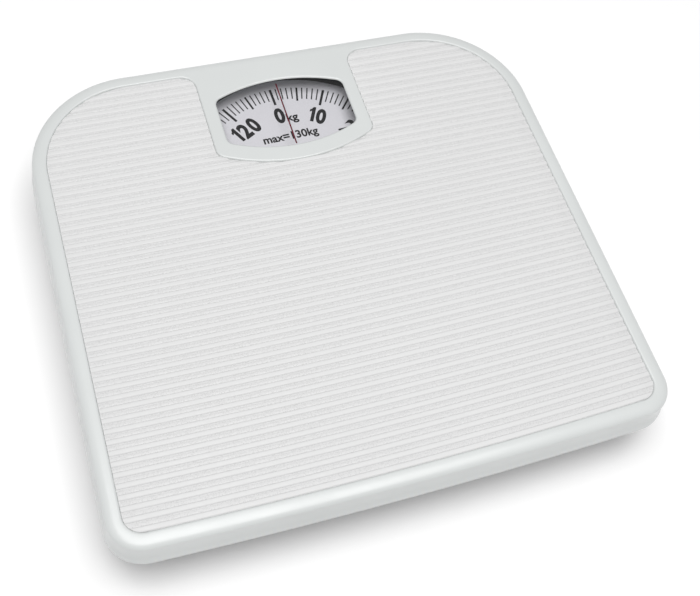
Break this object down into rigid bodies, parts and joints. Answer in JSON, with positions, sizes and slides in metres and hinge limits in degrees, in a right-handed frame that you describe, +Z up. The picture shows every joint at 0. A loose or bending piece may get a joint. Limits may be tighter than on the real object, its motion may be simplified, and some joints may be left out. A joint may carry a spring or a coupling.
{
  "type": "mechanical dial platform scale",
  "caption": "Flat floor scale for weighing a person: ribbed platform on four levers, main spring, rack and pinion, and a turning kilogram dial under a window.",
  "frame": {"origin": "on the floor, under the middle of the scale's plan box", "axes": "+X is the user's right, +Y points away from the user to the dial, +Z is up"},
  "size_m": [0.27, 0.256, 0.045],
  "materials": {
    "base_paint": "satin black stove enamel",
    "cover_paint": "semi-gloss white stove enamel with a faint cool tint",
    "mat_vinyl": "soft white vinyl with a fine grain between the ribs",
    "clear_plastic": "clear moulded acrylic",
    "hairline_red": "dark red line printed under the lens",
    "dial_face": "pale grey-white lacquered sheet-metal dial with printed black marks",
    "foot_rubber": "black moulded rubber",
    "zinc_steel": "bright zinc-plated pressed steel",
    "lever_steel": "rolled steel bar with a light phosphate coat",
    "pin_steel": "drawn steel",
    "spring_steel": "oiled spring wire",
    "brass": "machined and stamped brass",
    "white_nylon": "natural nylon",
    "wheel_plastic": "black knurled plastic"
  },
  "bodies": {
    "base": {"base_tray": "base_paint", "feet": "foot_rubber", "fulcrum_bracket_front_left": "zinc_steel", "fulcrum_bracket_front_right": "zinc_steel", "fulcrum_bracket_rear_left": "zinc_steel", "fulcrum_bracket_rear_right": "zinc_steel", "spring_bracket": "zinc_steel", "dial_bridge": "zinc_steel", "bearing_plate": "brass", "rack_guide": "white_nylon", "bearing_screws": "pin_steel", "crank_bracket": "zinc_steel", "crank_pivot_pin": "pin_steel", "frame_rivets": "pin_steel", "main_spring": "spring_steel", "rack_spring": "spring_steel", "platform_springs": "spring_steel"},
    "platform": {"platform_cover": "cover_paint", "platform_mat": "mat_vinyl", "window_lens": "clear_plastic", "index_hairline": "hairline_red", "lens_clips": "zinc_steel", "load_post_front_left": "zinc_steel", "load_post_front_right": "zinc_steel", "load_post_rear_left": "zinc_steel", "load_post_rear_right": "zinc_steel", "cover_spring_tabs": "zinc_steel"},
    "calibration_plate": {"calibration_plate": "brass", "calibration_pin": "pin_steel", "spring_plug": "pin_steel"},
    "anchor_nut": {"anchor_nut": "brass"},
    "zero_wheel": {"zero_screw": "pin_steel", "zero_wheel": "wheel_plastic"},
    "bell_crank": {"bell_crank": "zinc_steel"},
    "rack": {"rack": "brass", "rack_pin": "pin_steel"},
    "dial": {"pinion": "brass", "dial_shaft": "pin_steel", "shaft_clip": "pin_steel", "dial_hub": "brass", "dial_disc": "dial_face"},
    "long_lever_left": {"long_lever_left": "lever_steel", "long_lever_left_pins": "pin_steel", "lever_saddle_left": "zinc_steel"},
    "short_lever_left": {"short_lever_left": "lever_steel", "short_lever_left_pins": "pin_steel"},
    "long_lever_right": {"long_lever_right": "lever_steel", "long_lever_right_pins": "pin_steel", "lever_saddle_right": "zinc_steel"},
    "short_lever_right": {"short_lever_right": "lever_steel", "short_lever_right_pins": "pin_steel"}
  },
  "joints": [
    {"name": "dial_spin", "type": "hinge", "parent": "base", "child": "dial", "pos_m": [0, 0.049, 0.033], "axis": [0, 0, 1], "range_deg": [0, 360], "stiffness_Nm_per_rad": 0.0171, "springref_deg": -4.58},
    {"name": "platform_travel", "type": "slide", "parent": "base", "child": "platform", "axis": [0, 0, -1], "range_m": [0, 0.00053057], "deforming": ["platform_springs"]},
    {"name": "long_lever_left_turn", "type": "hinge", "parent": "base", "child": "long_lever_left", "pos_m": [-0.104, -0.095, 0.02], "axis": [-1, 0, 0], "range_deg": [0, 2.03]},
    {"name": "short_lever_left_turn", "type": "hinge", "parent": "base", "child": "short_lever_left", "pos_m": [-0.098, 0.092, 0.029], "axis": [1, 0, 0], "range_deg": [0, 2.03]},
    {"name": "long_lever_right_turn", "type": "hinge", "parent": "base", "child": "long_lever_right", "pos_m": [0.104, -0.095, 0.02], "axis": [-1, 0, 0], "range_deg": [0, 2.03]},
    {"name": "short_lever_right_turn", "type": "hinge", "parent": "base", "child": "short_lever_right", "pos_m": [0.098, 0.092, 0.029], "axis": [1, 0, 0], "range_deg": [0, 2.03]},
    {"name": "calibration_travel", "type": "slide", "parent": "base", "child": "calibration_plate", "axis": [0, 0, -1], "range_m": [0, 0.007], "deforming": ["main_spring"]},
    {"name": "crank_turn", "type": "hinge", "parent": "base", "child": "bell_crank", "pos_m": [0.00525, 0.068, 0.011], "axis": [-1, 0, 0], "range_deg": [0, 48.73]},
    {"name": "rack_travel", "type": "slide", "parent": "base", "child": "rack", "axis": [0, 1, 0], "range_m": [0, 0.01572], "deforming": ["rack_spring"]},
    {"name": "zero_turn", "type": "hinge", "parent": "base", "child": "zero_wheel", "pos_m": [0, 0.103, 0.0275], "axis": [0, 0, 1], "range_deg": [-360, 360]},
    {"name": "anchor_travel", "type": "slide", "parent": "base", "child": "anchor_nut", "axis": [0, 0, 1], "range_m": [-0.0008, 0.0008]}
  ],
  "couplings": [
    {"joint": "platform_travel", "follows": "dial_spin", "m_per_rad": 0.0000844},
    {"joint": "long_lever_left_turn", "follows": "dial_spin", "ratio": 0.0056267},
    {"joint": "short_lever_left_turn", "follows": "dial_spin", "ratio": 0.0056267},
    {"joint": "long_lever_right_turn", "follows": "dial_spin", "ratio": 0.0056267},
    {"joint": "short_lever_right_turn", "follows": "dial_spin", "ratio": 0.0056267},
    {"joint": "calibration_travel", "follows": "dial_spin", "m_per_rad": 0.0011141},
    {"joint": "crank_turn", "follows": "dial_spin", "ratio": 0.13531},
    {"joint": "rack_travel", "follows": "dial_spin", "m_per_rad": 0.0025},
    {"joint": "anchor_travel", "follows": "zero_turn", "m_per_rad": -0.00012732}
  ]
}
